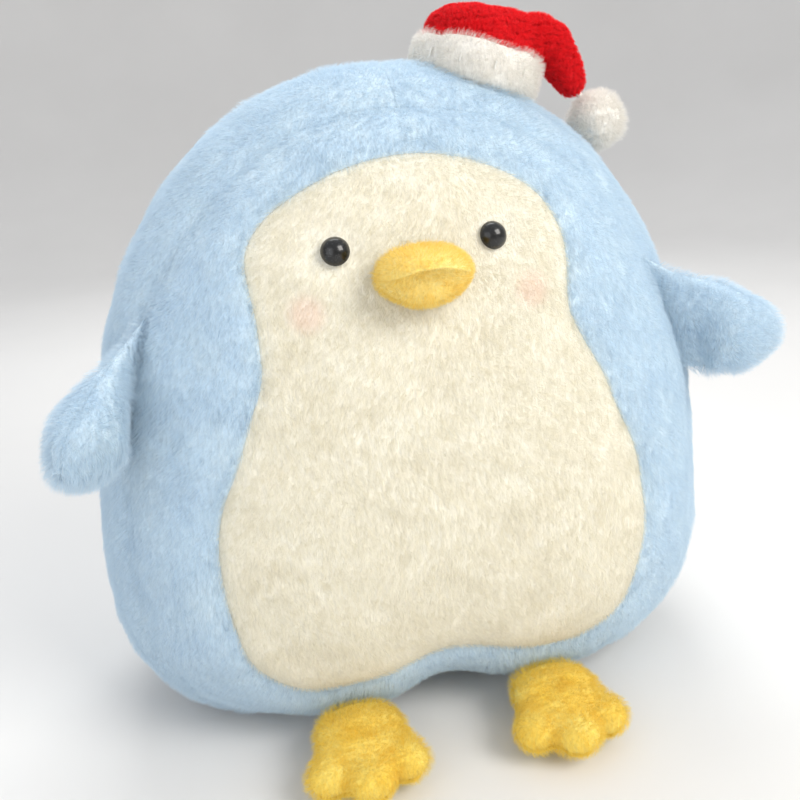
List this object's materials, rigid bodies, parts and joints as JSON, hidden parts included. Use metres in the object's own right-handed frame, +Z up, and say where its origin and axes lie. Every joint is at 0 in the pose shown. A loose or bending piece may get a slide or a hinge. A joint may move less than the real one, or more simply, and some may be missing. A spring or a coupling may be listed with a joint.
{
  "type": "plush penguin",
  "caption": "Large squarish stuffed penguin toy with a cream face and belly, hinged flippers and feet, a beak and a small folded Santa hat.",
  "frame": {"origin": "centre of the flat base panel, on the plane that the toy sits on", "axes": "+Z up, the face looks towards -Y, +X is the penguin's own left"},
  "size_m": [0.4511, 0.3022, 0.443],
  "materials": {
    "blue_plush": "short soft pile",
    "cream_plush": "short soft pile with a faint pink blush on the cheeks",
    "beak_plush": "very short pile",
    "foot_plush": "curly medium pile",
    "red_sherpa": "curly pile",
    "white_trim": "short soft pile",
    "white_pompom": "long soft pile",
    "eye_plastic": "polished black",
    "washer_plastic": "natural",
    "fibre_filling": "loose polyester fibre",
    "sewing_thread": "spun polyester",
    "label_tape": "satin tape, blank"
  },
  "bodies": {
    "torso": {"body_filling": "fibre_filling", "face_belly_panel": "cream_plush", "front_panel": "blue_plush", "gusset_left": "blue_plush", "gusset_right": "blue_plush", "back_panel_left": "blue_plush", "back_panel_right": "blue_plush", "base_panel": "blue_plush", "closing_stitches": "sewing_thread", "care_label": "label_tape", "eye_left": "eye_plastic", "eye_right": "eye_plastic", "eye_washer_left": "washer_plastic", "eye_washer_right": "washer_plastic", "beak_upper": "beak_plush", "beak_lower": "beak_plush", "beak_filling": "fibre_filling", "hat_trim": "white_trim", "hat_crown": "red_sherpa", "hat_filling": "fibre_filling", "hat_tack_stitches": "sewing_thread"},
    "flipper_left": {"flipper_left_front": "blue_plush", "flipper_left_back": "blue_plush", "flipper_left_filling": "fibre_filling"},
    "flipper_right": {"flipper_right_front": "blue_plush", "flipper_right_back": "blue_plush", "flipper_right_filling": "fibre_filling"},
    "foot_left": {"foot_left_top": "foot_plush", "foot_left_sole": "foot_plush", "foot_left_filling": "fibre_filling"},
    "foot_right": {"foot_right_top": "foot_plush", "foot_right_sole": "foot_plush", "foot_right_filling": "fibre_filling"},
    "hat_tip": {"hat_tip": "red_sherpa", "hat_tip_filling": "fibre_filling"},
    "pompom": {"pompom": "white_pompom", "pompom_tie": "sewing_thread"}
  },
  "joints": [
    {"name": "flipper_left_swing", "type": "hinge", "parent": "torso", "child": "flipper_left", "pos_m": [0.17952, -0.06979, 0.25377], "axis": [0.3016, -0.0701, -0.9509], "range_deg": [-30, 60], "stiffness_Nm_per_rad": 0.05},
    {"name": "flipper_right_swing", "type": "hinge", "parent": "torso", "child": "flipper_right", "pos_m": [-0.17206, -0.07916, 0.2521], "axis": [0.3016, 0.0701, 0.9509], "range_deg": [-60, 15], "stiffness_Nm_per_rad": 0.05},
    {"name": "foot_left_lift", "type": "hinge", "parent": "torso", "child": "foot_left", "pos_m": [0.064, -0.113, 0.032], "axis": [-1, 0, 0], "range_deg": [0, 40]},
    {"name": "foot_right_lift", "type": "hinge", "parent": "torso", "child": "foot_right", "pos_m": [-0.064, -0.113, 0.032], "axis": [-1, 0, 0], "range_deg": [0, 40]},
    {"name": "hat_tip_lift", "type": "hinge", "parent": "torso", "child": "hat_tip", "pos_m": [0.12487, 0, 0.42623], "axis": [0, -1, 0], "range_deg": [0, 100]},
    {"name": "pompom_swing", "type": "hinge", "parent": "hat_tip", "child": "pompom", "pos_m": [0.13533, 0, 0.38687], "axis": [0, -1, 0], "range_deg": [0, 40]}
  ]
}
